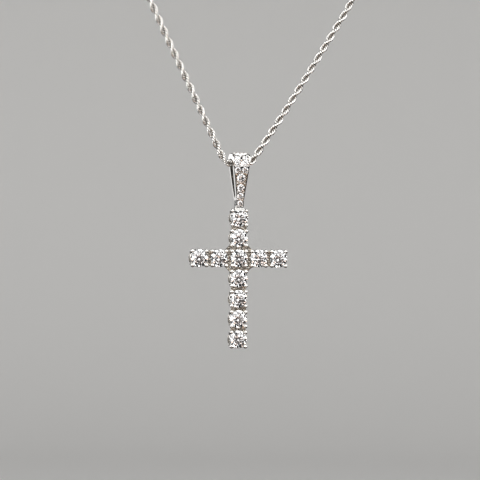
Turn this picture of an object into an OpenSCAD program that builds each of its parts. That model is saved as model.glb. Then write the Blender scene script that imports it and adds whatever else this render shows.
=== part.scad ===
// Cross pendant of round stones on a rope chain, held as it hangs from a neck.
// Millimetres. The front faces -Y, +X is to the right seen from the front, +Z is up.
// The origin is where the clasp bears on the nape. The pendant hangs at the chain's low
// point, and everything on it is placed from that point, which is its swing axis.

/* [Stones] */
// Diameter of each round stone of the cross
stone_d = 3.5; // [3.3:0.05:3.6]
// Distance from one stone of the cross to the next
stone_pitch = 4; // [3.95:0.05:4.3]
// Width of a stone's table as a share of its diameter
table_share = 0.57; // [0.53:0.01:0.62]
// Angle of a stone's crown
crown_angle = 34.5; // [32:0.5:36]
// Angle of a stone's pavilion
pavilion_angle = 40.8; // [40:0.2:42]
// Girdle thickness as a share of the diameter
girdle_share = 0.03; // [0.02:0.005:0.04]
// Gap between a stone and the metal that holds it
stone_gap = 0.03; // [0.02:0.01:0.05]

/* [Baskets] */
// Diameter of a prong's wire
prong_d = 0.66; // [0.56:0.02:0.7]
// Diameter of the rounded claw at a prong's tip
claw_d = 0.8; // [0.74:0.02:0.84]
// How far the foot of a prong stands nearer the stone's axis than its claw
prong_lean = 0.42; // [0.3:0.02:0.5]
// Depth of a basket behind the girdle of its stone
basket_depth = 2.2; // [1.9:0.05:2.4]
// Height of a gallery ring along the stone's axis
ring_h = 0.45; // [0.35:0.05:0.5]
// Width of a gallery ring's wall
ring_w = 0.45; // [0.35:0.05:0.5]
// Width of the gallery wall that joins two baskets
bridge_w = 3.1; // [2.6:0.1:3.2]

/* [Bail] */
// Width of the bail over the chain
bail_top_w = 3.6; // [3.54:0.02:3.8]
// Width of the bail at its tail
bail_tail_w = 1.45; // [1.4:0.05:1.7]
// Height from the swing axis down to the end of the tail
bail_drop = 9.2; // [9:0.1:9.8]
// Depth of the opening under the arch, from its front to its back
bail_room = 2.7; // [2.6:0.05:2.9]
// Thickness of the front leg and of the arch, which carry the stones
bail_front_t = 1.1; // [1.05:0.05:1.3]
// Thickness of the plain back leg
bail_back_t = 0.8; // [0.7:0.05:1]
// Depth of the tail from front to back
bail_tail_t = 1.7; // [1.6:0.05:1.9]
// Height from the swing axis down to the middle of the slot's round end
slot_drop = 6.2; // [5.8:0.1:6.4]
// Radius of the bail's rounded upper corners, seen from the front
corner_r = 0.7; // [0.5:0.05:0.8]
// Width of the bright rim beside the sunk field of small stones
field_rim = 0.18; // [0.14:0.02:0.2]
// Diameter of a bead raised between the bail's small stones
bead_d = 0.32; // [0.26:0.02:0.36]

/* [Chain] */
// Outer diameter of the rope chain
chain_d = 1.5; // [1.3:0.05:1.6]
// Running gap between the chain and the bail's arch
chain_gap = 0.25; // [0.2:0.05:0.4]
// Radius of the chain's bend beside the bail
chain_bend_r = 1.2; // [1.1:0.05:1.3]
// Length of the clasp
clasp_l = 10; // [9:0.5:12]
// Diameter of the clasp
clasp_d = 3; // [2.6:0.1:3.6]

/* [Hidden] */
$fn = 48;

// Where the pendant hangs: the swing axis, which is the chain's low point
low_point = [-6, -110, -112];

// Stones of the cross: right and up from the middle stone, in pitches
cross_places = [
    [0, 2], [0, 1], [0, 0],
    [-1, 0], [-2, 0], [1, 0], [2, 0],
    [0, -1], [0, -2], [0, -3], [0, -4]
];

// Walls between baskets: right and up in pitches, and the wall's turn
bridge_places = [
    [0, 1.5, 90], [0, 0.5, 90], [0, -0.5, 90], [0, -1.5, 90], [0, -2.5, 90], [0, -3.5, 90],
    [-1.5, 0, 0], [-0.5, 0, 0], [0.5, 0, 0], [1.5, 0, 0]
];

// Short bars across the cross's four inner corners: right and up in pitches, and the turn
corner_places = [[0.5, 0.5, -45], [-0.5, 0.5, 45], [-0.5, -0.5, -45], [0.5, -0.5, 45]];
corner_bar_w = 0.6;

// Turn of each stone about its own axis past the one before it
stone_turn = 17;

// A prong stands on a diagonal of its stone, and its claw reaches in over the edge
prong_r = (stone_d + prong_d) / 2;
claw_in = 0.1;
claw_rise = 0.18;

// The upper gallery ring carries the stone, and the lower one joins the prongs' feet
seat_ring_r = stone_d / 2 + 0.03;
seat_drop = 0.2;
foot_ring_r = prong_r - prong_lean + 0.08;
bridge_lap = 0.4;
bridge_inset = 0.03;

// The girdles lie in front of the swing axis, so that the cross hangs plumb
girdle_y = -0.5;
tail_lap = 0.15;
middle_z = -bail_drop + tail_lap - stone_d / 2 - 2 * stone_pitch;

// The arch: an inner round that hangs on the chain with its gap, a little to the back, and an
// outer round moved up and to the front, where the metal is thicker
arch_in_r = bail_room / 2;
arch_back = 0.1;
arch_in_z = chain_d / 2 + chain_gap - arch_in_r;
arch_r = arch_in_r + (bail_front_t + bail_back_t) / 2;
arch_shift = (bail_front_t - bail_back_t) / 2;
arch_y = arch_back - arch_shift;
arch_z = arch_in_z + arch_shift;
skin = 0.01;

// The front leg runs down as a tangent of the arch to the front of the tail, and the back leg
// bows out behind it and curves in to the tail's back
tail_front = 0.9;
tail_back = bail_tail_t - tail_front;
front_lean = tangent_lean(tail_front + arch_y, bail_drop + arch_z);
back_bow = 2.5;
back_steps = 12;

// The front outline: round corners by the arch, a taper from the shoulder, a straight tail
shoulder_z = 0.9;
taper_end = slot_drop + 1.1;
tail_rim = 0.05;
corner_steps = 6;

// The sunk field between the rims: its depth, and where it ends over the tail and by the arch
field_sink = 0.14;
field_foot = bail_drop - 0.75;
field_end = 0.2;

// The web that spreads from the tail to the two upper prongs, and swells forward on its way
web_top = bail_drop - 0.65;
web_low = bail_drop + 0.2;
web_side = 0.2;
web_r = 0.8;
web_front = 0.4;
web_swell = 0.22;
web_back = 0.35;

// Small stones of the bail: diameter, offset from the middle, and place along the front
// face, counted up from where the front leg meets the arch
bail_stones = [
    [1.35, -0.8, 2.12], [1.35, 0.8, 2.12],
    [1.35, -0.8, 0.64], [1.35, 0.8, 0.64],
    [1.25, -0.74, -0.78], [1.25, 0.74, -0.78],
    [1.75, 0, -2.44],
    [1.5, 0, -4.4],
    [1.35, 0, -6.02],
    [1.15, 0, -7.44]
];
small_sink = 0.1;
bead_sink = 0.08;

// Beads between them, a pair on each line: offset from the middle, place along the face
bail_beads = [
    [0.36, 3.4], [1.16, 3.4],
    [0.38, 1.4], [1.3, 1.4],
    [0.36, -0.08], [1.24, -0.08],
    [0.36, -1.44], [1.14, -1.46],
    [0.76, -3.48],
    [0.64, -5.26],
    [0.54, -6.78],
    [0.44, -8.06]
];

// Each strand leaves the bail level, bends, and rises with this lean from the vertical
left_level = 2.1;
left_lean = 25.8;
right_level = 1.6;
right_lean = 33;
bend_steps = 5;
span_steps = 3;

// Routes of the two strands from the low point to the clasp: right, back, up
left_route = [
    [-10.2, 0, 15.2], [-17.6, 0, 30.5], [-33, 0, 64], [-41, 2, 83],
    [-48, 10, 99], [-52, 25, 110], [-53, 44, 115], [-49, 66, 116],
    [-38, 87, 115], [-20, 104, 113]
];
right_route = [
    [9.8, 0, 11.5], [22.2, 0, 31.9], [41, 0, 64], [52, 2, 83],
    [60, 10, 99], [64, 25, 110], [65, 44, 115], [61, 66, 116],
    [50, 87, 115], [32, 104, 113]
];

// A way that no stretch of the chain takes, which keeps the rings of its mesh in line
ring_sight = [0, 1, -1];

// Lean from the vertical of the line that touches the arch's outer round and ends at a
// point so far across and down from the round's middle
function tangent_lean(across, down) = atan2(down, across) - acos(arch_r / norm([across, down]));

// Distance back from the swing axis to the front leg's face at a depth in and a height
function front_face(depth, z) =
    arch_y - (arch_r - depth + sin(front_lean) * (z - arch_z)) / cos(front_lean);

// The same to the back leg's face
function back_face(depth, z) =
    let (share = max(arch_z - z, 0) / (arch_z + bail_drop))
    arch_y + arch_r - depth - (arch_y + arch_r - tail_back) * pow(share, back_bow);

// Points of the back leg's face from its foot up to a height
function back_points(depth, foot, top) =
    [for (i = [0:back_steps])
        let (z = foot + (top - foot) * i / back_steps)
        [back_face(depth, z), z]];

// Tilt of the bail's front face at a place along it, up from level
function face_tilt(s) = s > 0 ? s / arch_r * 180 / PI - front_lean : -front_lean;

// Point of the bail's front face at a place along it and a depth in: back, up
function face_point(s, depth) =
    let (tilt = face_tilt(s))
    let (run = min(s, 0))
    [
        arch_y - (arch_r - depth) * cos(tilt) - run * sin(front_lean),
        arch_z + (arch_r - depth) * sin(tilt) + run * cos(front_lean)
    ];

// How far a stone's girdle lies in from the front face, deeper where the face is round
function stone_sink(d, s) =
    small_sink + (s > 0 ? arch_r - sqrt(arch_r * arch_r - d * d / 4) : 0);

// Half the turn between two of a stone's eight main facets
half_facet = 22.5;

// Heights of a stone of diameter d from the middle of its girdle
function girdle_half(d) = girdle_share * d / 2;
function crown_top(d) = girdle_half(d) + (1 - table_share) * d / 2 * tan(crown_angle);
function star_r(d) = (table_share + 0.53 * (1 - table_share)) * d / 2;
function star_z(d) = crown_top(d) - (star_r(d) * cos(half_facet) - table_share * d / 2) * tan(crown_angle);
function lower_r(d) = 0.25 * d / 2;
function lower_z(d) = -girdle_half(d) - (d / 2 - lower_r(d) * cos(half_facet)) * tan(pavilion_angle);
function culet_z(d) = -girdle_half(d) - d / 2 * tan(pavilion_angle);

// A ring of n points at a radius and a height, turned by an angle
function ring_points(n, r, z, turn) =
    [for (i = [0:n - 1]) [r * cos(turn + i * 360 / n), r * sin(turn + i * 360 / n), z]];

// A round brilliant with its table up: a table, 8 stars, 8 kites, 16 upper halves, a
// girdle of 16 sides, 16 lower halves and 8 mains that meet at the culet
module brilliant(d) {
    r = d / 2;
    points = concat(
        ring_points(8, table_share * r, crown_top(d), 0),
        ring_points(8, star_r(d), star_z(d), half_facet),
        ring_points(16, r, girdle_half(d), 0),
        ring_points(16, r, -girdle_half(d), 0),
        ring_points(8, lower_r(d), lower_z(d), half_facet),
        [[0, 0, culet_z(d)]]
    );
    table_0 = 0;
    star_0 = 8;
    top_0 = 16;
    bottom_0 = 32;
    lower_0 = 48;
    culet = 56;
    faces = concat(
        [[for (i = [7:-1:0]) table_0 + i]],
        [for (i = [0:7]) [table_0 + (i + 1) % 8, star_0 + i, table_0 + i]],
        [for (i = [0:7]) [star_0 + i, top_0 + 2 * i, star_0 + (i + 7) % 8, table_0 + i]],
        [for (i = [0:7]) [top_0 + 2 * i + 1, top_0 + 2 * i, star_0 + i]],
        [for (i = [0:7]) [top_0 + (2 * i + 2) % 16, top_0 + 2 * i + 1, star_0 + i]],
        [for (i = [0:15]) [top_0 + (i + 1) % 16, bottom_0 + (i + 1) % 16, bottom_0 + i, top_0 + i]],
        [for (i = [0:7]) [bottom_0 + 2 * i, bottom_0 + 2 * i + 1, lower_0 + i]],
        [for (i = [0:7]) [bottom_0 + 2 * i + 1, bottom_0 + (2 * i + 2) % 16, lower_0 + i]],
        [for (i = [0:7]) [lower_0 + (i + 7) % 8, bottom_0 + 2 * i, lower_0 + i, culet]]
    );
    polyhedron(points, faces);
}

// The space that a stone and its gap take, with the table up
module stone_room(d) {
    g = stone_gap;
    rotate_extrude()
        polygon([
            [0, culet_z(d) - 1.5 * g],
            [lower_r(d) + 0.7 * g, lower_z(d) - g],
            [d / 2 + g, -girdle_half(d) - 0.3 * g],
            [d / 2 + g, girdle_half(d) + 0.3 * g],
            [star_r(d) + 0.7 * g, star_z(d) + 0.8 * g],
            [table_share * d / 2 + 0.5 * g, crown_top(d) + g],
            [0, crown_top(d) + g]
        ]);
}

// The hole drilled for a small stone: a cone under the girdle, straight walls above it
module stone_drill(d) {
    g = stone_gap;
    rotate_extrude()
        polygon([
            [0, culet_z(d) - 1.5 * g],
            [lower_r(d) + 0.7 * g, lower_z(d) - g],
            [d / 2 + g, -girdle_half(d) - 0.3 * g],
            [d / 2 + g, d / 2],
            [0, d / 2]
        ]);
}

// Puts what is drawn with its table up at a stone of the cross, facing the front
module at_cross_place(place) {
    translate([place[0] * stone_pitch, girdle_y, middle_z + place[1] * stone_pitch])
        rotate([90, 0, 0])
            children();
}

// Puts what is drawn with its table up on the bail's front face
module at_bail_stone(stone) {
    face = face_point(stone[2], stone_sink(stone[0], stone[2]));
    translate([stone[1], face[0], face[1]])
        rotate([90 - face_tilt(stone[2]), 0, 0])
            children();
}

// Four prongs with round claws, and the two gallery rings that join them
module basket() {
    claw_r = prong_r - claw_in;
    run = prong_lean - claw_in;
    fall = basket_depth + claw_rise;
    for (turn = [45:90:315])
        rotate([0, 0, turn])
            translate([claw_r, 0, claw_rise]) {
                sphere(d = claw_d);
                rotate([0, 180 + atan2(run, fall), 0])
                    cylinder(d = prong_d, h = norm([run, fall]));
            }
    translate([0, 0, -seat_drop - ring_h])
        gallery_ring(seat_ring_r);
    translate([0, 0, -basket_depth])
        gallery_ring(foot_ring_r);
}

module gallery_ring(outer_r) {
    rotate_extrude()
        translate([outer_r - ring_w, 0])
            square([ring_w, ring_h]);
}

// Flat bar of the seat rings' height, centred between two stones
module gallery_bar(l, w) {
    bar_h = ring_h - 2 * bridge_inset;
    translate([-l / 2, -w / 2, -seat_drop - ring_h + bridge_inset])
        cube([l, w, bar_h]);
}

// Outer form of the bail seen from the side, or a form that lies so far inside it
module bail_side(inset) {
    depth = skin + inset;
    front_z = arch_z - arch_r * sin(front_lean);
    rotate([90, 0, 90])
        translate([0, 0, -bail_top_w / 2])
            linear_extrude(bail_top_w)
                polygon(concat(
                    [[front_face(depth, front_z), front_z], [front_face(depth, -bail_drop), -bail_drop]],
                    back_points(depth, -bail_drop, arch_z)
                ));
    translate([-bail_top_w / 2, arch_y, arch_z])
        rotate([0, 90, 0])
            cylinder(r = arch_r - inset, h = bail_top_w);
}

// Outline of the bail seen from the front
module bail_front() {
    half_top = bail_top_w / 2;
    half_tail = bail_tail_w / 2;
    top_z = arch_z + arch_r;
    foot_z = -bail_drop - tail_rim;
    depth = 2 * arch_r + 1;
    round_corner = [for (i = [0:corner_steps])
        let (turn = 90 * i / corner_steps)
        [half_top - corner_r + corner_r * cos(turn), top_z - corner_r + corner_r * sin(turn)]];
    right = concat([[half_tail, foot_z], [half_tail, -taper_end], [half_top, shoulder_z]], round_corner);
    left = [for (i = [len(right) - 1:-1:0]) [-right[i][0], right[i][1]]];
    rotate([90, 0, 0])
        translate([0, 0, -depth / 2])
            linear_extrude(depth)
                polygon(concat(right, left));
}

// The shallow field cut into the front face between the rims, for the stones and beads
module bail_field() {
    half_top = bail_top_w / 2 - field_rim;
    half_tail = bail_tail_w / 2 - field_rim;
    top_z = arch_z + arch_r + 1;
    front_y = field_end - arch_y;
    difference() {
        rotate([90, 0, 0])
            translate([0, 0, front_y])
                linear_extrude(arch_r + 1)
                    polygon([
                        [-half_tail, -field_foot], [half_tail, -field_foot],
                        [half_tail, -taper_end], [half_top, shoulder_z],
                        [half_top, top_z], [-half_top, top_z],
                        [-half_top, shoulder_z], [-half_tail, -taper_end]
                    ]);
        bail_side(field_sink);
    }
}

// The opening that the chain runs through: a round over a slot with a round end
module bail_slot() {
    slot_l = bail_top_w + 1;
    front_y = front_face(bail_front_t, -slot_drop);
    back_y = back_face(bail_back_t, -slot_drop);
    translate([-slot_l / 2, (front_y + back_y) / 2, -slot_drop])
        rotate([0, 90, 0])
            cylinder(d = back_y - front_y - 2 * skin, h = slot_l);
    translate([-slot_l / 2, arch_back, arch_in_z])
        rotate([0, 90, 0])
            cylinder(r = arch_in_r, h = slot_l);
    rotate([90, 0, 90])
        translate([0, 0, -slot_l / 2])
            linear_extrude(slot_l)
                polygon(concat(
                    [
                        [front_face(bail_front_t, arch_in_z), arch_in_z],
                        [front_y, -slot_drop]
                    ],
                    back_points(bail_back_t, -slot_drop, arch_in_z)
                ));
}

module bail_beads() {
    for (bead = bail_beads, side = [-1, 1]) {
        face = face_point(bead[1], bead_sink);
        translate([side * bead[0], face[0], face[1]])
            sphere(d = bead_d);
    }
}

// Concave web from the tail to the upper prongs of the top basket
module web() {
    half_w = prong_r / sqrt(2) + web_side;
    reach = web_front + web_swell + web_back;
    difference() {
        rotate([90, 0, 90])
            translate([0, 0, -half_w])
                linear_extrude(2 * half_w)
                    polygon([
                        [girdle_y - web_front, -web_top],
                        [girdle_y - web_front - web_swell, -web_low],
                        [girdle_y + web_back, -web_low],
                        [girdle_y + web_back, -web_top]
                    ]);
        for (side = [-1, 1])
            translate([side * (bail_tail_w / 2 + web_r), girdle_y + reach, -web_top])
                rotate([90, 0, 0])
                    cylinder(r = web_r, h = 2 * reach);
    }
}

// The cross's baskets and the bail, soldered into one casting
module cross_frame() {
    bridge_l = stone_pitch - 2 * (seat_ring_r - bridge_lap);
    corner_bar_l = sqrt(2) * stone_pitch - 2 * (prong_r - claw_in);
    color("silver")
        translate(low_point)
            difference() {
                union() {
                    for (place = cross_places)
                        at_cross_place(place)
                            basket();
                    for (wall = bridge_places)
                        at_cross_place(wall)
                            rotate([0, 0, wall[2]])
                                gallery_bar(bridge_l, bridge_w);
                    for (bar = corner_places)
                        at_cross_place(bar)
                            rotate([0, 0, bar[2]])
                                gallery_bar(corner_bar_l, corner_bar_w);
                    web();
                    difference() {
                        intersection() {
                            bail_side(0);
                            bail_front();
                        }
                        bail_field();
                        bail_slot();
                        for (stone = bail_stones)
                            at_bail_stone(stone)
                                stone_drill(stone[0]);
                    }
                    bail_beads();
                }
                for (place = cross_places)
                    at_cross_place(place)
                        stone_room(stone_d);
                for (stone = bail_stones)
                    at_bail_stone(stone)
                        stone_room(stone[0]);
            }
}

// One stone of the cross, by its number in the list of places
module main_stone(i) {
    color("azure")
        translate(low_point)
            at_cross_place(cross_places[i])
                rotate([0, 0, i * stone_turn])
                    brilliant(stone_d);
}

// One small stone of the bail, by its number in their list
module small_stone(i) {
    color("azure")
        translate(low_point)
            at_bail_stone(bail_stones[i])
                rotate([0, 0, i * stone_turn])
                    brilliant(bail_stones[i][0]);
}

// Unit vector along v
function unit(v) = v / norm(v);

// The bend beside the bail, to the left with side -1 and to the right with side 1
function bend_points(side, level, lean) =
    [for (i = [0:bend_steps])
        let (turn = (90 - lean) * i / bend_steps)
        [side * (level + chain_bend_r * sin(turn)), 0, chain_bend_r * (1 - cos(turn))]];

// A point between knots b and c of a smooth curve that passes a, b, c and d in turn
function span_point(a, b, c, d, t) =
    b + t * (c - a) / 2
    + t * t * (2 * a - 5 * b + 4 * c - d) / 2
    + t * t * t * (3 * b - a - 3 * c + d) / 2;

// The smooth stretch through a list of knots, which ends level along X
function curve_points(knots) =
    let (n = len(knots))
    let (start = 2 * knots[0] - knots[1])
    let (turn_back = knots[n - 2])
    let (finish = [2 * knots[n - 1][0] - turn_back[0], turn_back[1], turn_back[2]])
    let (all_knots = concat([start], knots, [finish]))
    [for (i = [1:n - 1], k = [1:span_steps])
        span_point(all_knots[i - 1], all_knots[i], all_knots[i + 1], all_knots[i + 2], k / span_steps)];

// All ring centres of one strand, from the low point to the clasp
function strand_points(side, level, lean, route) =
    let (bend = bend_points(side, level, lean))
    let (clasp_end = [side * clasp_l / 2, clasp_d / 2, 0] - low_point)
    let (knots = concat([bend[bend_steps]], route, [clasp_end]))
    concat([[0, 0, 0]], bend, curve_points(knots));

// A tube of eight flat sides along a strand's points, as wide over its flats as the chain
module strand(side, level, lean, route) {
    sides = 8;
    tube_r = chain_d / 2 / cos(180 / sides);
    centres = strand_points(side, level, lean, route);
    n = len(centres);
    points = [for (i = [0:n - 1])
        let (before = i == 0 || i == n - 1 ? [0, 0, 0] : centres[i - 1])
        let (after = i == 0 || i == n - 1 ? [i == 0 ? side : -side, 0, 0] : centres[i + 1])
        let (along = unit(after - before))
        let (across = unit(cross(along, ring_sight)))
        let (over = cross(along, across))
        for (k = [0:sides - 1])
            let (turn = k * 360 / sides)
            centres[i] + tube_r * (cos(turn) * across + sin(turn) * over)];
    walls = [for (i = [0:n - 2], k = [0:sides - 1])
        [
            i * sides + k,
            (i + 1) * sides + k,
            (i + 1) * sides + (k + 1) % sides,
            i * sides + (k + 1) % sides
        ]];
    first = [for (k = [0:sides - 1]) k];
    last = [for (k = [sides - 1:-1:0]) (n - 1) * sides + k];
    color("gainsboro")
        translate(low_point)
            polyhedron(points, concat(walls, [first], [last]));
}

module chain_left() {
    strand(-1, left_level, left_lean, left_route);
}

module chain_right() {
    strand(1, right_level, right_lean, right_route);
}

// A plain barrel at the nape with its two ends turned down to the chain
module clasp() {
    end_r = chain_d / 2 + 0.15;
    shoulder = 0.8;
    color("silver")
        translate([-clasp_l / 2, clasp_d / 2, 0])
            rotate([0, 90, 0])
                rotate_extrude()
                    polygon([
                        [0, 0], [end_r, 0], [clasp_d / 2, shoulder],
                        [clasp_d / 2, clasp_l - shoulder], [end_r, clasp_l], [0, clasp_l]
                    ]);
}

cross_frame();
main_stone(0);  // stone_up_2
main_stone(1);  // stone_up_1
main_stone(2);  // stone_centre
main_stone(3);  // stone_left_1
main_stone(4);  // stone_left_2
main_stone(5);  // stone_right_1
main_stone(6);  // stone_right_2
main_stone(7);  // stone_down_1
main_stone(8);  // stone_down_2
main_stone(9);  // stone_down_3
main_stone(10);  // stone_down_4
small_stone(0);  // bail_stone_1
small_stone(1);  // bail_stone_2
small_stone(2);  // bail_stone_3
small_stone(3);  // bail_stone_4
small_stone(4);  // bail_stone_5
small_stone(5);  // bail_stone_6
small_stone(6);  // bail_stone_7
small_stone(7);  // bail_stone_8
small_stone(8);  // bail_stone_9
small_stone(9);  // bail_stone_10
chain_left();
chain_right();
clasp();
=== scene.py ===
"""Cross pendant of round stones on a rope chain: the chain's rings, the finishes of the metal
and the stones, and the studio that they are seen in. Lengths are metres in the CAD's frame."""

import bpy
import numpy as np
from bpy.props import FloatProperty, IntProperty, PointerProperty, StringProperty
from mathutils import Matrix, Vector


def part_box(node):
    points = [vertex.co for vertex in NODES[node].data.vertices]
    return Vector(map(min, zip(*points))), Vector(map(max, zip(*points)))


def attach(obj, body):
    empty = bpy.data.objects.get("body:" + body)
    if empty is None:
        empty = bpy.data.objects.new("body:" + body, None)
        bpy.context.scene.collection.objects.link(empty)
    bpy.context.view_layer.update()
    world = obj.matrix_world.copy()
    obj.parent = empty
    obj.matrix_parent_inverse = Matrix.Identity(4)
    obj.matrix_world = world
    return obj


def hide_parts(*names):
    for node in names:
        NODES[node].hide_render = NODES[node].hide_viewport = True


bl_info = {
    "name": "Cross Pendant",
    "version": (1, 0, 0),
    "blender": (4, 5, 0),
    "location": "View3D > Sidebar > Pendant",
    "description": "Links the rope chain, finishes the metal and stones, and sets up the studio",
    "category": "Object",
}

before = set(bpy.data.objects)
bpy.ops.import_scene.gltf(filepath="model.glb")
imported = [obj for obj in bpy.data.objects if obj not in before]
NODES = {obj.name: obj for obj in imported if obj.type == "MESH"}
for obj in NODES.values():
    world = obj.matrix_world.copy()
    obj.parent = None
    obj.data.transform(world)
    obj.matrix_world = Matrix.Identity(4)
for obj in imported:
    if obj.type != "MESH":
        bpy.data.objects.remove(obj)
MM = 0.001

# The swing axis, which is the chain's low point inside the bail
LOW_POINT = np.array([-6.0, -110.0, -112.0]) * MM

# The two strands' knots from the low point, in millimetres, as the CAD has them
LEFT_ROUTE = [
    [-10.2, 0, 15.2], [-17.6, 0, 30.5], [-33, 0, 64], [-41, 2, 83],
    [-48, 10, 99], [-52, 25, 110], [-53, 44, 115], [-49, 66, 116],
    [-38, 87, 115], [-20, 104, 113],
]
RIGHT_ROUTE = [
    [9.8, 0, 11.5], [22.2, 0, 31.9], [41, 0, 64], [52, 2, 83],
    [60, 10, 99], [64, 25, 110], [65, 44, 115], [61, 66, 116],
    [50, 87, 115], [32, 104, 113],
]
# Side, level run beside the bail in millimetres, lean of the strand from the vertical in degrees,
# and its knots
LEFT = (-1, 2.1, 25.8, LEFT_ROUTE)
RIGHT = (1, 1.6, 33.0, RIGHT_ROUTE)
# The bend from the level run to the lean: its radius in millimetres and its straight steps
BEND_R, BEND_STEPS = 1.2, 5
# Straight steps from one knot to the next
SPAN_STEPS = 3
# The clasp's right end from the origin, in millimetres, and how far short of it the rings stop
CLASP_END = np.array([5.0, 1.5, 0.0])
CLASP_GAP = 0.1 * MM

# The bail's front as the CAD has it: the middle of its arch, the arch's radius, and the lean of
# the front leg, which runs down from the arch as its tangent
ARCH_MIDDLE = (0.0, -110.05 * MM, -112.2 * MM)
ARCH_R = 2.3 * MM
FRONT_LEAN = np.radians(9.34)
# The leg's sunk field: the depths under the leg's face over which it fades in, a depth that its
# floor doesn't reach, and the heights over the arch's middle between which it fades in downwards
FIELD_EDGE = (0.09 * MM, 0.13 * MM)
FIELD_FLOOR = 0.6 * MM
FIELD_TOP = (-1.0 * MM, -1.5 * MM)
# How far a face turns to X, as a cosine, to count as one of the bail's flat sides
FLAT_SIDE = 0.98

# Where the satin finish and the painted shade fade in on the cross: on the fronts of the walls
# between the baskets, which lie just behind the girdles, and on the baskets from 0.7 mm behind the
# girdles on
WALLS_Y = (-110.6 * MM, -110.3 * MM)
FEET_Y = (-109.8 * MM, -108.8 * MM)
# The height under which all metal is the cross's
CROSS_TOP = -121.6 * MM
# How far a face turns to the front, as a cosine along Y, to count as a wall's front
FRONT_FACE = -0.7

# Points around a ring of the rope, and around its wire
RING_POINTS, WIRE_POINTS = 14, 5
# Points around the floor, and in metres the radii of its flat steps, the radius at which it starts
# to bend up, the bend's own radius and the height of its wall
FLOOR_POINTS = 72
FLOOR_FLAT = [0.4, 1.5, 3.0]
FLOOR_BEND_AT, FLOOR_BEND_R, FLOOR_WALL = 4.5, 1.0, 2.5
# The collection that keeps the soft lights off the floor
OFF_FLOOR = "off_floor"
# The picture's width, and how far the middle stone stands left of its middle and below it, in
# pixels
PICTURE, STONE_LEFT, STONE_BELOW = 480, 1.5, 18.4

# The soft lights: azimuth, elevation, distance, size, power and colour
WHITE, WARM, CREAM = "#FFFFFF", "#FFE4D4", "#FFEFE8"
LIGHTS = {
    # Two fronts with a dark gap between them, which the metal between the stones mirrors
    "key_right": (34, 34, 0.7, (0.4, 0.6), 1.4, WHITE),
    "key_left": (-6, 34, 0.7, (0.4, 0.6), 1.4, WHITE),
    # Round the sides, over and under, for the stones' facets and the round parts of the metal
    "side": (58, 12, 0.8, (0.4, 0.6), 3.4, WHITE),
    "fill": (-58, 18, 0.8, (0.4, 0.6), 3.0, WHITE),
    "top": (-20, 72, 0.7, (0.8, 0.4), 3.0, WHITE),
    "low": (-5, -34, 0.8, (0.6, 0.25), 1.3, WARM),
    "left": (-110, 5, 0.8, (0.5, 0.6), 2.0, WHITE),
    "left_low": (-62, -14, 0.8, (0.4, 0.4), 0.5, WHITE),
    "right": (114, 4, 0.8, (0.5, 0.6), 0.6, WHITE),
    # What the flat fronts between the stones mirror, and the web under the bail
    "card": (12, -3, 0.8, (0.2, 0.26), 0.09, CREAM),
    "web": (13, 27, 0.7, (0.1, 0.08), 0.018, WHITE),
    # What the bail's sides mirror: bright over the level, a line for its two legs, and dim below
    "rim": (-167, 14.1, 0.9, (0.3, 0.4), 0.8, WHITE),
    "line": (-168, -1.4, 0.9, (0.3, 0.063), 0.05, WHITE),
    "rim_low": (-167, -14, 0.9, (0.3, 0.3), 0.09, WHITE),
    # For the sides of the baskets, and for the views from behind
    "back_right": (140, 24, 0.9, (0.6, 0.5), 1.4, WHITE),
    "back_left": (-138, 10, 0.9, (0.36, 0.5), 0.7, WHITE),
}
# The floor's two broad lights, and the faint light from all round
PAPER_POWER, WORLD_POWER = 1.25, 0.04


def linear(hex_colour):
    """An sRGB hex colour as the linear RGBA that the shaders take."""
    s = np.array([int(hex_colour[i:i + 2], 16) for i in (1, 3, 5)]) / 255.0
    rgb = np.where(s <= 0.04045, s / 12.92, ((s + 0.055) / 1.055) ** 2.4)
    return (*rgb.tolist(), 1.0)


def add(tree, kind, settings=None, **links):
    """Adds a node of a kind. Settings are its own properties or, by socket name or number, its
    values. Links are sockets that feed its inputs, with _ for a space in the input's name."""
    n = tree.nodes.new(kind)
    for key, value in (settings or {}).items():
        if isinstance(key, str) and hasattr(n, key):
            setattr(n, key, value)
        else:
            n.inputs[key].default_value = value
    for key, source in links.items():
        name = int(key[1:]) if key[0] == "i" and key[1:].isdigit() else key.replace("_", " ")
        tree.links.new(source, n.inputs[name])
    return n


def material(name):
    """An empty material with a Principled shader, and the tree and shader to work on."""
    m = bpy.data.materials.new(name)
    m.use_nodes = True
    tree = m.node_tree
    return m, tree, tree.nodes["Principled BSDF"]


def mesh_piece(name, verts, faces):
    """A smooth-shaded piece from an array of points and a list of faces, at the origin."""
    me = bpy.data.meshes.new(name)
    me.from_pydata(verts.tolist(), [], faces)
    me.polygons.foreach_set("use_smooth", np.ones(len(me.polygons), bool))
    me.update()
    o = bpy.data.objects.new(name, me)
    bpy.context.scene.collection.objects.link(o)
    return o


def unit(v):
    """Rows of v made one long."""
    return v / np.linalg.norm(v, axis=-1, keepdims=True)


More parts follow.
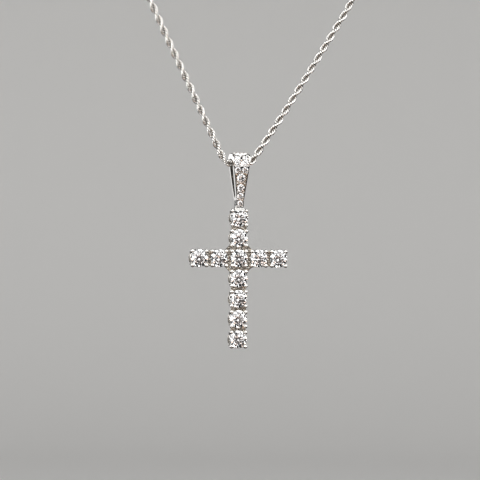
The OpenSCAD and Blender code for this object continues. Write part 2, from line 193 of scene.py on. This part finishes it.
def strand_points(side, level, lean, route):
    """One strand's points in metres from the low point to the clasp: level inside the bail, a
    bend of even radius, then a smooth curve through the knots. Between knots b and c the curve is
    b + t(c - a)/2 + t2(2a - 5b + 4c - d)/2 + t3(3b - a - 3c + d)/2."""
    turn = np.radians(90 - lean) * np.arange(BEND_STEPS + 1) / BEND_STEPS
    bend = np.stack([
        side * (level + BEND_R * np.sin(turn)), 0 * turn, BEND_R * (1 - np.cos(turn))], 1)
    end = CLASP_END * (side, 1, 1) - LOW_POINT / MM
    knots = np.vstack([bend[-1], route, end])
    last = knots[-2] * (-1, 1, 1) + (2 * knots[-1][0], 0, 0)
    k = np.vstack([2 * knots[0] - knots[1], knots, last])
    a, b, c, d = (k[i:len(k) - 3 + i, None] for i in range(4))
    t = (np.arange(1, SPAN_STEPS + 1) / SPAN_STEPS)[None, :, None]
    curve = (b + t * (c - a) / 2 + t ** 2 * (2 * a - 5 * b + 4 * c - d) / 2
             + t ** 3 * (3 * b - a - 3 * c + d) / 2)
    return LOW_POINT + np.vstack([[[0, 0, 0]], bend, curve.reshape(-1, 3)]) * MM


def along_path(points, where):
    """Points and unit directions at lengths along a path of straight stretches, with the corners
    between stretches rounded by sampling the path finely and smoothing it."""
    step, pad = 0.05 * MM, 8
    run = np.concatenate([[0], np.cumsum(np.linalg.norm(np.diff(points, axis=0), axis=1))])
    fine = np.arange(0, run[-1], step)
    p = np.stack([np.interp(fine, run, points[:, i]) for i in range(3)], 1)
    window = np.hanning(2 * pad + 3)[1:-1]
    window /= window.sum()
    q = np.vstack([2 * p[:1] - p[pad:0:-1], p, 2 * p[-1:] - p[-2:-pad - 2:-1]])
    p = np.stack([np.convolve(q[:, i], window, "valid") for i in range(3)], 1)
    d = unit(np.gradient(p, axis=0))
    at = np.stack([np.interp(where, fine, p[:, i]) for i in range(3)], 1)
    way = unit(np.stack([np.interp(where, fine, d[:, i]) for i in range(3)], 1))
    return at, way


class RopeSettings(bpy.types.PropertyGroup):
    """Sizes of the rope chain's rings."""

    lobe: FloatProperty(
        name="Lobe", description="Length of chain in which its lay turns half round",
        default=2.45 * MM, unit="LENGTH", precision=5)
    rings_per_lobe: IntProperty(
        name="Rings in a lobe", description="How many rings the lay has in half a turn", default=6)
    wire: FloatProperty(
        name="Wire", description="Thickness of the flattened wire",
        default=0.29 * MM, unit="LENGTH", precision=5)
    wire_w: FloatProperty(
        name="Wire width", description="Width of the flattened wire, from a ring's middle outwards",
        default=0.37 * MM, unit="LENGTH", precision=5)
    outer: FloatProperty(
        name="Chain diameter", description="Width of the chain over its lobes",
        default=1.49 * MM, unit="LENGTH", precision=5)
    tip: FloatProperty(
        name="Tip", description="Lean of a ring from the chain's direction",
        default=np.radians(5), subtype="ANGLE")
    colour: StringProperty(
        name="Silver", description="Colour of the outside of the rings", default="#F2F0EC")
    # Painted shade: the darker colour laid on the silver deep between the rings
    painted_shade: StringProperty(
        name="Shade", description="Colour of the silver deep between the rings", default="#9C9791")


def rope_mesh(name, centres, ways, index, s):
    """The rings at centres as one mesh, with how far out from the chain's middle each point lies
    as an attribute: 0 on the axis and 1 on the crest of a lobe."""
    # Turns are counted from this direction, which no stretch of the chain runs along
    sight = np.array([0.0, 1.0, -1.0])
    across = unit(np.cross(ways, sight))
    over = np.cross(ways, across)
    turn = (np.pi * index / s.rings_per_lobe)[:, None]
    spoke = np.cos(turn) * across + np.sin(turn) * over
    side = np.cos(turn) * over - np.sin(turn) * across
    run = np.cos(s.tip) * ways + np.sin(s.tip) * side
    normal = np.cross(spoke, run)
    ring_r = (s.outer - s.wire_w) / 2
    u = np.linspace(0, 2 * np.pi, RING_POINTS, endpoint=False)
    v = np.linspace(0, 2 * np.pi, WIRE_POINTS, endpoint=False)
    reach = ring_r + s.wire_w / 2 * np.cos(v)
    body = (reach[None, None, :, None]
            * (np.cos(u)[None, :, None, None] * spoke[:, None, None]
               + np.sin(u)[None, :, None, None] * run[:, None, None])
            + s.wire / 2 * np.sin(v)[None, None, :, None] * normal[:, None, None])
    verts = centres[:, None, None] + body
    i, a, b = np.meshgrid(
        np.arange(len(centres)), np.arange(RING_POINTS), np.arange(WIRE_POINTS), indexing="ij")
    a2, b2 = (a + 1) % RING_POINTS, (b + 1) % WIRE_POINTS

    def number(ring, ui, vi):
        return (ring * RING_POINTS + ui) * WIRE_POINTS + vi

    faces = np.stack([number(i, a, b), number(i, a2, b), number(i, a2, b2), number(i, a, b2)], -1)
    o = mesh_piece(name, verts.reshape(-1, 3), faces.reshape(-1, 4).tolist())
    outward = body - (body * ways[:, None, None]).sum(-1, keepdims=True) * ways[:, None, None]
    depth = np.linalg.norm(outward, axis=-1) / (s.outer / 2)
    layer = o.data.attributes.new("outward", "FLOAT", "POINT")
    layer.data.foreach_set("value", depth.ravel().astype(np.float32))
    return o


def wire_silver(s):
    """Drawn sterling wire, tumbled bright and rhodium plated: a clean white gloss on the outside
    of the rings, and a duller metal deep between them where the media doesn't reach. Painted shade
    darkens the colour deep between the rings, by how far out from the chain's middle a point lies."""
    m, tree, shader = material("Drawn sterling wire, rhodium plated")
    outward = add(tree, "ShaderNodeAttribute", {"attribute_name": "outward"})
    place = add(tree, "ShaderNodeTexCoord")
    # Mottle of the plating, about 0.3 mm across
    mottle = add(tree, "ShaderNodeTexNoise", {"Scale": 3300.0, "Detail": 2.0},
                 Vector=place.outputs["Object"])
    reach = add(tree, "ShaderNodeMapRange", {"From Min": 0.25, "From Max": 0.75},
                Value=outward.outputs["Fac"])
    # Painted shade: the colour darkens from the crests of the lobes to deep between the rings
    colour = add(tree, "ShaderNodeMix",
                 {"data_type": "RGBA", 6: linear(s.painted_shade), 7: linear(s.colour)},
                 i0=reach.outputs[0])
    gloss = add(tree, "ShaderNodeMapRange", {"To Min": 0.3, "To Max": 0.12}, Value=reach.outputs[0])
    rough = add(tree, "ShaderNodeMath", {"operation": "MULTIPLY_ADD", 1: 0.08},
                i0=mottle.outputs["Fac"], i2=gloss.outputs[0])
    # Draw marks along the wire, too fine to count at this size and drawn at 0.05 mm
    marks = add(tree, "ShaderNodeTexNoise", {"Scale": 20000.0, "Detail": 1.0},
                Vector=place.outputs["Object"])
    bump = add(tree, "ShaderNodeBump", {"Strength": 0.12, "Distance": 0.00001},
               Height=marks.outputs["Fac"])
    tree.links.new(colour.outputs[2], shader.inputs["Base Color"])
    tree.links.new(rough.outputs[0], shader.inputs["Roughness"])
    tree.links.new(bump.outputs["Normal"], shader.inputs["Normal"])
    shader.inputs["Metallic"].default_value = 1.0
    return m


class PENDANT_OT_rope(bpy.types.Operator):
    """Threads the rope chain's rings along both strands"""

    bl_idname = "pendant.rope"
    bl_label = "Rope chain"

    def execute(self, context):
        s = context.scene.pendant_rope
        left = strand_points(*LEFT)
        right = strand_points(*RIGHT)
        path = np.vstack([left[::-1], right[1:]])
        left_l = np.linalg.norm(np.diff(left, axis=0), axis=1).sum()
        right_l = np.linalg.norm(np.diff(right, axis=0), axis=1).sum()
        spacing = s.lobe / s.rings_per_lobe
        # Ring numbers count from the low point, so that the lay runs on through the bail
        low = -int((left_l - CLASP_GAP) / spacing)
        high = int((right_l - CLASP_GAP) / spacing)
        index = np.arange(low, high + 1)
        at, way = along_path(path, left_l + index * spacing)
        finish = wire_silver(s)
        for name, node, mine in (
                ("rope_left", "chain_left", index < 0), ("rope_right", "chain_right", index >= 0)):
            piece = rope_mesh(name, at[mine], way[mine], index[mine], s)
            piece.data.materials.append(finish)
            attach(piece, "necklace")
            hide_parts(node)
        return {"FINISHED"}


class MetalSettings(bpy.types.PropertyGroup):
    """Colours of the cast and the turned silver, and of the painted shade on the cast silver."""

    bright: StringProperty(
        name="Silver", description="Colour of the polished fronts", default="#E8E6E2")
    # Painted shade: the darker colour laid behind the stones and in the bail's sunk field, where
    # shade falls between the stones
    recess_painted_shade: StringProperty(
        name="Backs", description="Colour of the metal that no wheel polishes",
        default="#C2BBB0")


class StoneSettings(bpy.types.PropertyGroup):
    """Look of the stones."""

    ior: FloatProperty(
        name="Refraction", description="Index of refraction of the stones", default=2.2)
    colour: StringProperty(
        name="Stone", description="Colour of the stones", default="#FFFFFF")


def smooth_metal(node):
    """Joins a CAD solid's loose triangles and shades its round parts smooth, edges kept."""
    o = NODES[node]
    weld = o.modifiers.new("Weld", "WELD")
    weld.merge_threshold = 0.002 * MM
    bpy.context.view_layer.objects.active = o
    for other in bpy.context.selected_objects:
        other.select_set(False)
    o.select_set(True)
    bpy.ops.object.shade_auto_smooth(angle=np.radians(32))
    o.select_set(False)


def dress(node, finish):
    """Puts one material on a CAD node."""
    slots = NODES[node].data.materials
    slots.clear()
    slots.append(finish)


def sunk_field(tree, place, facing):
    """1 in the field between the rims of the bail's flat front leg and in the holes drilled
    there, 0 elsewhere. Both are told by their depth under the leg's face, whose distance from
    the middle of the arch is the arch's radius, and by how far below the arch they lie."""
    lean_c, lean_s = np.cos(FRONT_LEAN), np.sin(FRONT_LEAN)
    spot = add(tree, "ShaderNodeVectorMath", {"operation": "SUBTRACT", 1: ARCH_MIDDLE},
               i0=place.outputs["Object"])
    out = add(tree, "ShaderNodeVectorMath", {"operation": "DOT_PRODUCT", 1: (0, -lean_c, -lean_s)},
              i0=spot.outputs["Vector"])
    up = add(tree, "ShaderNodeVectorMath", {"operation": "DOT_PRODUCT", 1: (0, -lean_s, lean_c)},
             i0=spot.outputs["Vector"])
    deep = add(tree, "ShaderNodeMapRange",
               {"From Min": ARCH_R - FIELD_EDGE[0], "From Max": ARCH_R - FIELD_EDGE[1]},
               Value=out.outputs["Value"])
    shallow = add(tree, "ShaderNodeMath",
                  {"operation": "GREATER_THAN", 1: ARCH_R - FIELD_FLOOR},
                  i0=out.outputs["Value"])
    below = add(tree, "ShaderNodeMapRange", {"From Min": FIELD_TOP[0], "From Max": FIELD_TOP[1]},
                Value=up.outputs["Value"])
    # The bail's flat sides have the same depths, but they face along X
    across = add(tree, "ShaderNodeMath", {"operation": "ABSOLUTE"}, i0=facing.outputs["X"])
    inside = add(tree, "ShaderNodeMath", {"operation": "LESS_THAN", 1: FLAT_SIDE},
                 i0=across.outputs[0])
    mask = deep.outputs[0]
    for part in (shallow, below, inside):
        mask = add(tree, "ShaderNodeMath", {"operation": "MULTIPLY"},
                   i0=mask, i1=part.outputs[0]).outputs[0]
    return mask


def cast_silver(s):
    """Lost-wax cast sterling, wheel polished and rhodium plated: mirror-like on the claws, the
    beads and the bail's rims with the faint waves that a polishing wheel leaves, and a softer,
    rougher finish with fine casting grain behind the stones and in the bail's sunk field, where no
    wheel gets in. In those places painted shade also darkens the colour."""
    m, tree, shader = material("Cast sterling, polished and rhodium plated")
    place = add(tree, "ShaderNodeTexCoord")
    parts = add(tree, "ShaderNodeSeparateXYZ", Vector=place.outputs["Object"])
    facing = add(tree, "ShaderNodeSeparateXYZ",
                 Vector=add(tree, "ShaderNodeNewGeometry").outputs["True Normal"])
    # The fronts of the walls between the baskets
    back = add(tree, "ShaderNodeMapRange", {"From Min": WALLS_Y[0], "From Max": WALLS_Y[1]},
               Value=parts.outputs["Y"])
    shelf = add(tree, "ShaderNodeMath", {"operation": "LESS_THAN", 1: FRONT_FACE},
                i0=facing.outputs["Y"])
    walls = add(tree, "ShaderNodeMath", {"operation": "MULTIPLY"},
                i0=back.outputs[0], i1=shelf.outputs[0])
    # The backs of the baskets, and neither these nor the walls on the bail
    feet = add(tree, "ShaderNodeMapRange", {"From Min": FEET_Y[0], "From Max": FEET_Y[1]},
               Value=parts.outputs["Y"])
    either = add(tree, "ShaderNodeMath", {"operation": "MAXIMUM"},
                 i0=walls.outputs[0], i1=feet.outputs[0])
    cross = add(tree, "ShaderNodeMath", {"operation": "LESS_THAN", 1: CROSS_TOP},
                i0=parts.outputs["Z"])
    behind = add(tree, "ShaderNodeMath", {"operation": "MULTIPLY"},
                 i0=either.outputs[0], i1=cross.outputs[0])
    # Where the finish is rougher and painted shade darkens the colour: behind the stones and in the
    # sunk field
    satin_and_painted_shade = add(tree, "ShaderNodeMath", {"operation": "MAXIMUM"},
                i0=behind.outputs[0], i1=sunk_field(tree, place, facing))
    # Dents of 0.4 mm that the casting keeps where it isn't polished
    dents = add(tree, "ShaderNodeTexNoise", {"Scale": 2600.0, "Detail": 1.0},
                Vector=place.outputs["Object"])
    # Casting grain of 0.12 mm, and waves of the wheel over 0.9 mm
    grain = add(tree, "ShaderNodeTexNoise", {"Scale": 8300.0, "Detail": 3.0},
                Vector=place.outputs["Object"])
    waves = add(tree, "ShaderNodeTexNoise", {"Scale": 1100.0, "Detail": 1.0},
                Vector=place.outputs["Object"])
    # Painted shade: the colour goes from the polished silver to the shade colour there
    colour = add(tree, "ShaderNodeMix",
                 {"data_type": "RGBA", 6: linear(s.bright), 7: linear(s.recess_painted_shade)},
                 i0=satin_and_painted_shade.outputs[0])
    gloss = add(tree, "ShaderNodeMapRange", {"To Min": 0.07, "To Max": 0.16},
                Value=satin_and_painted_shade.outputs[0])
    rough = add(tree, "ShaderNodeMath", {"operation": "MULTIPLY_ADD", 1: 0.08},
                i0=grain.outputs["Fac"], i2=gloss.outputs[0])
    wheel = add(tree, "ShaderNodeBump", {"Strength": 0.25, "Distance": 0.00003},
                Height=waves.outputs["Fac"])
    cast = add(tree, "ShaderNodeBump", {"Distance": 0.00012}, Strength=satin_and_painted_shade.outputs[0],
               Height=dents.outputs["Fac"], Normal=wheel.outputs["Normal"])
    skin = add(tree, "ShaderNodeBump", {"Strength": 0.15, "Distance": 0.00001},
               Height=grain.outputs["Fac"], Normal=cast.outputs["Normal"])
    tree.links.new(colour.outputs[2], shader.inputs["Base Color"])
    tree.links.new(rough.outputs[0], shader.inputs["Roughness"])
    tree.links.new(skin.outputs["Normal"], shader.inputs["Normal"])
    shader.inputs["Metallic"].default_value = 1.0
    return m


def turned_silver(s):
    """Sterling rod turned on a lathe and plated: fine rings round the barrel's axis, which is X,
    that draw its highlight out into a band."""
    m, tree, shader = material("Turned sterling, rhodium plated")
    place = add(tree, "ShaderNodeTexCoord")
    # Tool marks every 0.08 mm along the barrel
    marks = add(tree, "ShaderNodeTexWave", {"Scale": 2000.0, "Distortion": 0.4, "Detail": 1.0},
                Vector=place.outputs["Object"])
    rough = add(tree, "ShaderNodeMapRange", {"To Min": 0.12, "To Max": 0.22},
                Value=marks.outputs["Fac"])
    bump = add(tree, "ShaderNodeBump", {"Strength": 0.2, "Distance": 0.00001},
               Height=marks.outputs["Fac"])
    tree.links.new(rough.outputs[0], shader.inputs["Roughness"])
    tree.links.new(bump.outputs["Normal"], shader.inputs["Normal"])
    shader.inputs["Base Color"].default_value = linear(s.bright)
    shader.inputs["Metallic"].default_value = 1.0
    return m


def cut_stone(s):
    """Cubic zirconia, sawn, faceted and lapped: clear and colourless with hard flat facets, and
    the faint lines of the lap that soften a reflection here and there."""
    m, tree, shader = material("Cubic zirconia, faceted and lapped")
    place = add(tree, "ShaderNodeTexCoord")
    # Patches of the lap's polish, 0.4 mm across
    lap = add(tree, "ShaderNodeTexNoise", {"Scale": 2500.0, "Detail": 2.0},
              Vector=place.outputs["Object"])
    rough = add(tree, "ShaderNodeMapRange", {"From Min": 0.45, "From Max": 0.8, "To Max": 0.02},
                Value=lap.outputs["Fac"])
    tree.links.new(rough.outputs[0], shader.inputs["Roughness"])
    shader.inputs["Base Color"].default_value = linear(s.colour)
    shader.inputs["Transmission Weight"].default_value = 1.0
    shader.inputs["IOR"].default_value = s.ior
    return m


class PENDANT_OT_metal(bpy.types.Operator):
    """Finishes the cast cross and bail, and the turned clasp"""

    bl_idname = "pendant.metal"
    bl_label = "Silver"

    def execute(self, context):
        s = context.scene.pendant_metal
        for node, finish in (("cross_frame", cast_silver(s)), ("clasp", turned_silver(s))):
            smooth_metal(node)
            dress(node, finish)
        return {"FINISHED"}


class PENDANT_OT_stones(bpy.types.Operator):
    """Finishes the cross's stones and the bail's small stones"""

    bl_idname = "pendant.stones"
    bl_label = "Stones"

    def execute(self, context):
        finish = cut_stone(context.scene.pendant_stones)
        for node in NODES:
            if "stone" in node:
                dress(node, finish)
        return {"FINISHED"}


class StudioSettings(bpy.types.PropertyGroup):
    """The floor, the lights and the camera."""

    azimuth: FloatProperty(
        name="Azimuth", description="How far the camera stands to the left of the front",
        default=np.radians(12), subtype="ANGLE")
    roll: FloatProperty(
        name="Roll", description="How far the photograph leans clockwise",
        default=np.radians(0.55), subtype="ANGLE")
    distance: FloatProperty(
        name="Distance", description="From the camera to the cross", default=0.8, unit="LENGTH")
    field: FloatProperty(
        name="Field", description="Width of the picture at the cross",
        default=94.9 * MM, unit="LENGTH")
    floor_z: FloatProperty(
        name="Floor", description="Height of the floor", default=-0.42, unit="LENGTH")
    paper: StringProperty(name="Paper", description="Colour of the floor", default="#E9E8E6")


def sweep_floor(s):
    """A round floor that curves up at its edge: height over the floor is 0 out to the bend, then
    a quarter round, then a straight wall. Points are radius and height turned about the middle."""
    a = np.linspace(0, np.pi / 2, 13)
    r = np.concatenate([
        FLOOR_FLAT, FLOOR_BEND_AT + FLOOR_BEND_R * np.sin(a), [FLOOR_BEND_AT + FLOOR_BEND_R]])
    h = np.concatenate([0 * np.array(FLOOR_FLAT), FLOOR_BEND_R * (1 - np.cos(a)), [FLOOR_WALL]])
    t = np.linspace(0, 2 * np.pi, FLOOR_POINTS, endpoint=False)
    ring = np.stack([
        r[:, None] * np.cos(t), r[:, None] * np.sin(t), h[:, None] + 0 * t + s.floor_z], -1)
    verts = np.vstack([ring.reshape(-1, 3), [[0, 0, s.floor_z]]])
    i, j = np.meshgrid(np.arange(len(r) - 1), np.arange(FLOOR_POINTS), indexing="ij")
    k = (j + 1) % FLOOR_POINTS
    low, high = i * FLOOR_POINTS, (i + 1) * FLOOR_POINTS
    quads = np.stack([low + j, high + j, high + k, low + k], -1)
    hub = [(len(verts) - 1, n, (n + 1) % FLOOR_POINTS) for n in range(FLOOR_POINTS)]
    o = mesh_piece("floor", verts, quads.reshape(-1, 4).tolist() + hub)
    m, tree, shader = material("Matt card")
    place = add(tree, "ShaderNodeTexCoord")
    # Tooth of the card, too fine to show and drawn at 8 mm
    tooth = add(tree, "ShaderNodeTexNoise", {"Scale": 125.0, "Detail": 2.0},
                Vector=place.outputs["Object"])
    bump = add(tree, "ShaderNodeBump", {"Strength": 0.05, "Distance": 0.0005},
               Height=tooth.outputs["Fac"])
    tree.links.new(bump.outputs["Normal"], shader.inputs["Normal"])
    shader.inputs["Base Color"].default_value = linear(s.paper)
    shader.inputs["Roughness"].default_value = 0.9
    o.data.materials.append(m)
    # The stones and the metal mirror the lights and the dark between them, not the floor
    o.visible_glossy = False
    o.visible_transmission = False
    # The soft lights stand so near that they would burn the floor out, so they leave it alone
    off_floor = bpy.data.collections.new(OFF_FLOOR)
    off_floor.objects.link(o)
    off_floor.collection_objects[0].light_linking.link_state = "EXCLUDE"


def soft_light(name, azimuth, elevation, distance, size, power, colour, aim):
    """A rectangular soft light on a sphere about a point and turned towards it. Azimuth runs from
    the front to the right, and both angles are degrees."""
    light = bpy.data.lights.new(name, "AREA")
    light.shape = "RECTANGLE"
    light.size, light.size_y = size
    light.energy = power
    light.color = linear(colour)[:3]
    o = bpy.data.objects.new(name, light)
    a, e = np.radians(azimuth), np.radians(elevation)
    out = Vector((np.sin(a) * np.cos(e), -np.cos(a) * np.cos(e), np.sin(e)))
    o.location = aim + out * distance
    o.rotation_euler = (-out).to_track_quat("-Z", "Y").to_euler()
    o.visible_camera = False
    o.light_linking.receiver_collection = bpy.data.collections[OFF_FLOOR]
    bpy.context.scene.collection.objects.link(o)


def paper_light(name, azimuth):
    """A broad distant light from 45 degrees up that shows on the floor alone."""
    light = bpy.data.lights.new(name, "SUN")
    light.angle = np.radians(60)
    light.energy = PAPER_POWER
    o = bpy.data.objects.new(name, light)
    o.rotation_euler = (np.radians(45), 0, np.radians(azimuth))
    o.visible_glossy = False
    o.visible_transmission = False
    bpy.context.scene.collection.objects.link(o)


class PENDANT_OT_studio(bpy.types.Operator):
    """Lays the floor and sets up the lights and the camera"""

    bl_idname = "pendant.studio"
    bl_label = "Studio"

    def execute(self, context):
        s = context.scene.pendant_studio
        sweep_floor(s)
        lo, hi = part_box("stone_centre")
        middle = (lo + hi) / 2
        for name, light in LIGHTS.items():
            soft_light(name, *light, middle)
        paper_light("paper_front", 0)
        paper_light("paper_back", 180)
        world = bpy.data.worlds.new("studio")
        world.use_nodes = True
        sky = world.node_tree.nodes["Background"]
        sky.inputs["Color"].default_value = linear("#E4E8EC")
        sky.inputs["Strength"].default_value = WORLD_POWER
        context.scene.world = world
        context.scene.view_settings.view_transform = "Standard"

        camera = bpy.data.cameras.new("camera")
        camera.sensor_width = 36.0
        camera.lens = 36.0 * s.distance / s.field
        camera.clip_start, camera.clip_end = 0.01, 30
        o = bpy.data.objects.new("camera", camera)
        back = Vector((-np.sin(s.azimuth), -np.cos(s.azimuth), 0))
        turn = (-back).to_track_quat("-Z", "Y").to_matrix()
        turn = turn @ Matrix.Rotation(s.roll, 3, "Z")
        pixel = s.field / PICTURE
        aim = middle + turn.col[0] * STONE_LEFT * pixel + turn.col[1] * STONE_BELOW * pixel
        o.matrix_world = Matrix.Translation(aim + back * s.distance) @ turn.to_4x4()
        context.scene.collection.objects.link(o)
        context.scene.camera = o
        return {"FINISHED"}


class PENDANT_PT_workshop(bpy.types.Panel):
    """Lists the steps that make the piece"""

    bl_label = "Cross pendant"
    bl_idname = "PENDANT_PT_workshop"
    bl_space_type = "VIEW_3D"
    bl_region_type = "UI"
    bl_category = "Pendant"

    def draw(self, context):
        for group, operator in STEPS:
            box = self.layout.box()
            settings = getattr(context.scene, group)
            for name in settings.__class__.__annotations__:
                box.prop(settings, name)
            box.operator(operator)


STEPS = [
    ("pendant_rope", "pendant.rope"),
    ("pendant_metal", "pendant.metal"),
    ("pendant_stones", "pendant.stones"),
    ("pendant_studio", "pendant.studio"),
]
GROUPS = {
    "pendant_rope": RopeSettings,
    "pendant_metal": MetalSettings,
    "pendant_stones": StoneSettings,
    "pendant_studio": StudioSettings,
}
CLASSES = [
    *GROUPS.values(), PENDANT_OT_rope, PENDANT_OT_metal, PENDANT_OT_stones, PENDANT_OT_studio,
    PENDANT_PT_workshop,
]


def register():
    for c in CLASSES:
        bpy.utils.register_class(c)
    for name, group in GROUPS.items():
        setattr(bpy.types.Scene, name, PointerProperty(type=group))


def unregister():
    for name in GROUPS:
        delattr(bpy.types.Scene, name)
    for c in reversed(CLASSES):
        bpy.utils.unregister_class(c)


def main():
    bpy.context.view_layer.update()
    register()
    bpy.ops.pendant.rope()
    bpy.ops.pendant.metal()
    bpy.ops.pendant.stones()
    bpy.ops.pendant.studio()


if __name__ == "__main__":
    main()
